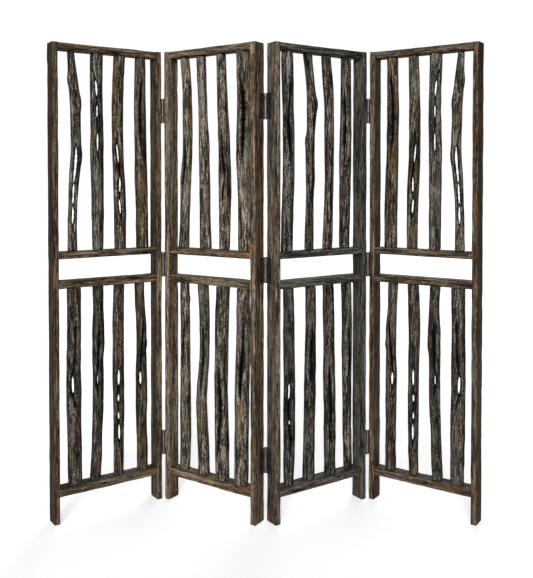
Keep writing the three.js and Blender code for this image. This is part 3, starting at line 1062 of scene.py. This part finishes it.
def plate_solid(side, height):
    near, far = LEAF_NEAR, LEAF_NEAR + LEAF_THICKNESS
    layers = [(near, LEAF_CHAMFER), (near + LEAF_CHAMFER, 0), (far - LEAF_CHAMFER, 0), (far, LEAF_CHAMFER)]
    points = [(side * x, y, z) for x, inset in layers for y, z in plate_outline(height, inset)]
    numbers, faces = tube(len(layers), len(points) // len(layers))
    faces += [numbers[0][::-1].tolist(), numbers[-1].tolist()]
    if side < 0:
        faces = [face[::-1] for face in faces]
    return solid(points, faces)


def facing(side):
    """Turns a screw that points up into one whose head faces the other leaf."""
    return Matrix.Rotation(-side * math.pi / 2, 4, "Y")


def countersink(side, y, z):
    face = -HEAD_DEPTH
    profile = [(SHANK_RADIUS + CLEARANCE, face - 2 * MM), (SHANK_RADIUS + CLEARANCE, face)]
    profile += [(HEAD_RADIUS + CLEARANCE, 0), (HEAD_RADIUS + 1 * MM, 0.7 * MM)]
    return solid(*lathe(profile, 32), Matrix.Translation((side * LEAF_NEAR, y, z)) @ facing(side))


def leaf_shape(side, height, own, others):
    steps = [("DIFFERENCE", countersink(side, y, z)) for y, z in LEAF_SCREWS]
    for index in others:
        low, high = knuckle_span(index, height, KNUCKLE_GAP)
        radius = BARREL_RADIUS + CLEARANCE
        steps.append(("DIFFERENCE", solid(*lathe([(radius, low), (radius, high)], 40))))
    for index in own:
        low, high = knuckle_span(index, height)
        rim = BARREL_RADIUS - LEAF_CHAMFER
        profile = [(rim, low), (BARREL_RADIUS, low + LEAF_CHAMFER)]
        profile += [(BARREL_RADIUS, high - LEAF_CHAMFER), (rim, high)]
        steps.append(("UNION", solid(*lathe(profile, 40))))
    bore = [(BORE_RADIUS, -1 * MM), (BORE_RADIUS, height + 1 * MM)]
    steps.append(("DIFFERENCE", solid(*lathe(bore, 24))))
    return combined(plate_solid(side, height), steps)


def pin_shape(height):
    """A steel pin with a low round button at each end."""
    button = 2.7 * MM
    foot = [(0.9 * MM, -1.3 * MM), (2.1 * MM, -1 * MM), (button, -0.4 * MM), (button, 0), (PIN_RADIUS, 0)]
    head = [(radius, height - z) for radius, z in foot[::-1]]
    return lathe(foot + head, 24)


def screw_shape():
    """A countersunk wood screw with a slot. Its head's top is at z = 0 and it points down."""
    neck = -HEAD_DEPTH
    profile = [(0.2 * MM, -SCREW_LENGTH), (SHANK_RADIUS * 0.8, -SCREW_LENGTH + 4 * MM), (SHANK_RADIUS, neck)]
    profile += [(HEAD_RADIUS, -0.25 * MM), (HEAD_RADIUS - 0.3 * MM, 0), (1.2 * MM, 0.1 * MM)]
    square, faces = lathe([(math.sqrt(0.5), -1.1 * MM), (math.sqrt(0.5), 1 * MM)], 4)
    slot = square @ np.array(Matrix.Rotation(math.pi / 4, 3, "Z")) * [10 * MM, 1 * MM, 1]
    return combined(solid(*lathe(profile, 24)), [("DIFFERENCE", solid(slot, faces))])


def steel_piece(name, shape, matrices, material, body, seed, *nodes):
    """One object made of a shape set down at each of the places. Points of the shape away from the pin's axis are
    darker.
    """
    rng = np.random.default_rng(seed)
    points, faces = shape
    every_point, every_face, grains = [], [], []
    for i, matrix in enumerate(matrices):
        every_point.append(points @ np.array(matrix)[:3, :3].T + np.array(matrix)[:3, 3])
        every_face += [[corner + i * len(points) for corner in face] for face in faces]
        grains.append(points + rng.uniform(0, 5, 3))
    near_pin = np.linalg.norm(points[:, :2], axis=1) < BARREL_RADIUS * 1.1
    values = {
        "grain": np.concatenate(grains),
        "tone": np.tile(np.where(near_pin, 0.0, LEAF_DARKENING), len(matrices)),
    }
    made = make_object(name, np.concatenate(every_point), every_face, material, values)
    made.data.shade_flat()
    made.data.set_sharp_from_angle(angle=math.radians(30))
    place(made, body, "aged_steel", *nodes)


def screw_turns(rng, count):
    return [Matrix.Rotation(rng.uniform(0, math.pi), 4, "Z") for _ in range(count)]


def hinge_matrix(node_name, panel, pin):
    """A hinge's own frame in the world. The leaves run from the pin towards the panel's middle depth."""
    to_panel = panel_places[panel].inverted()
    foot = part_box(node_name)[0].z
    at = Vector((pin[0], pin[1], foot))
    half_turn = 1 if (to_panel @ at).y > 0 else 0
    heading = panel_places[panel].to_euler().z + half_turn * math.pi
    return Matrix.Translation(at) @ Matrix.Rotation(heading, 4, "Z")


def build_leaf(node_name, panel, pin_place, side, shape, screw, seed):
    """One leaf of a hinge, and the three screws that hold it."""
    matrix = hinge_matrix(node_name, panel, pin_place)
    steel_piece(f"{node_name}_steel", shape, [matrix], aged_steel, panel, seed, node_name)
    turns = screw_turns(np.random.default_rng(seed), len(LEAF_SCREWS))
    seats = [Matrix.Translation((side * LEAF_NEAR, y, z)) for y, z in LEAF_SCREWS]
    turned = [matrix @ seat @ facing(side) @ turn for seat, turn in zip(seats, turns)]
    steel_piece(f"{node_name}_screws", screw, turned, aged_steel, panel, seed + 5)


def build_hinges():
    low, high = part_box("hinge_1_2_top_pin_leaf")
    height = high.z - low.z
    leaves = [
        ("pin_leaf", -1, leaf_shape(-1, height, PIN_KNUCKLES, BORED_KNUCKLES)),
        ("bored_leaf", 1, leaf_shape(1, height, BORED_KNUCKLES, PIN_KNUCKLES)),
    ]
    pin = pin_shape(height)
    screw = screw_shape()
    bodies = frame["record"]["behaviour"]["bodies"]
    panel_of = {name: body for body, names in bodies.items() for name in names}
    for i, joint in enumerate(frame["joints"]):
        for j, level in enumerate(LEVELS):
            hinge = f"{JOINTS[i]}_{level}"
            seed = 5000 + 100 * i + 10 * j
            for k, (leaf, side, shape) in enumerate(leaves):
                node_name = f"{hinge}_{leaf}"
                build_leaf(node_name, panel_of[node_name], joint["pos_m"], side, shape, screw, seed + k)
            node_name = f"{hinge}_pin_leaf"
            panel = panel_of[node_name]
            matrix = hinge_matrix(node_name, panel, joint["pos_m"])
            steel_piece(f"{hinge}_pin", pin, [matrix], worn_steel, panel, seed + 9, node_name)


def build_rail_screws():
    """A screw through each rail into the end of each pole: (bay, end of the pole, rail)."""
    screw = screw_shape()
    ends = [("lower", 0, "bottom_rail"), ("lower", 1, "lower_middle_rail")]
    ends += [("upper", 0, "upper_middle_rail"), ("upper", 1, "top_rail")]
    for i, panel in enumerate(PANELS):
        levels = frame_levels(panel)[2]
        for j, (bay, end, rail) in enumerate(ends):
            level = levels[2 * j + 1] if end == 0 else levels[2 * j + 2]
            rng = np.random.default_rng(7000 + 10 * i + j)
            matrices = []
            for number, turn in zip(range(1, POLES_PER_BAY + 1), screw_turns(rng, POLES_PER_BAY)):
                points = node_points(f"{panel}_{bay}_branch_{number}")
                end_level = points[:, 2].max() if end else points[:, 2].min()
                ring = points[abs(points[:, 2] - end_level) < 0.01 * MM]
                flip = Matrix.Rotation(0 if end else math.pi, 4, "X")
                matrices.append(Matrix.Translation((*ring.mean(axis=0)[:2], level)) @ flip @ turn)
            steel_piece(f"{panel}_{rail}_screws", screw, matrices, aged_steel, panel, 8000 + 10 * i + j)


# ---------------------------------------------------------------- the whole screen

add_camera()
add_floor()
add_backdrop()
add_studio()
build_frame_boards()
build_poles()
build_hinges()
build_rail_screws()
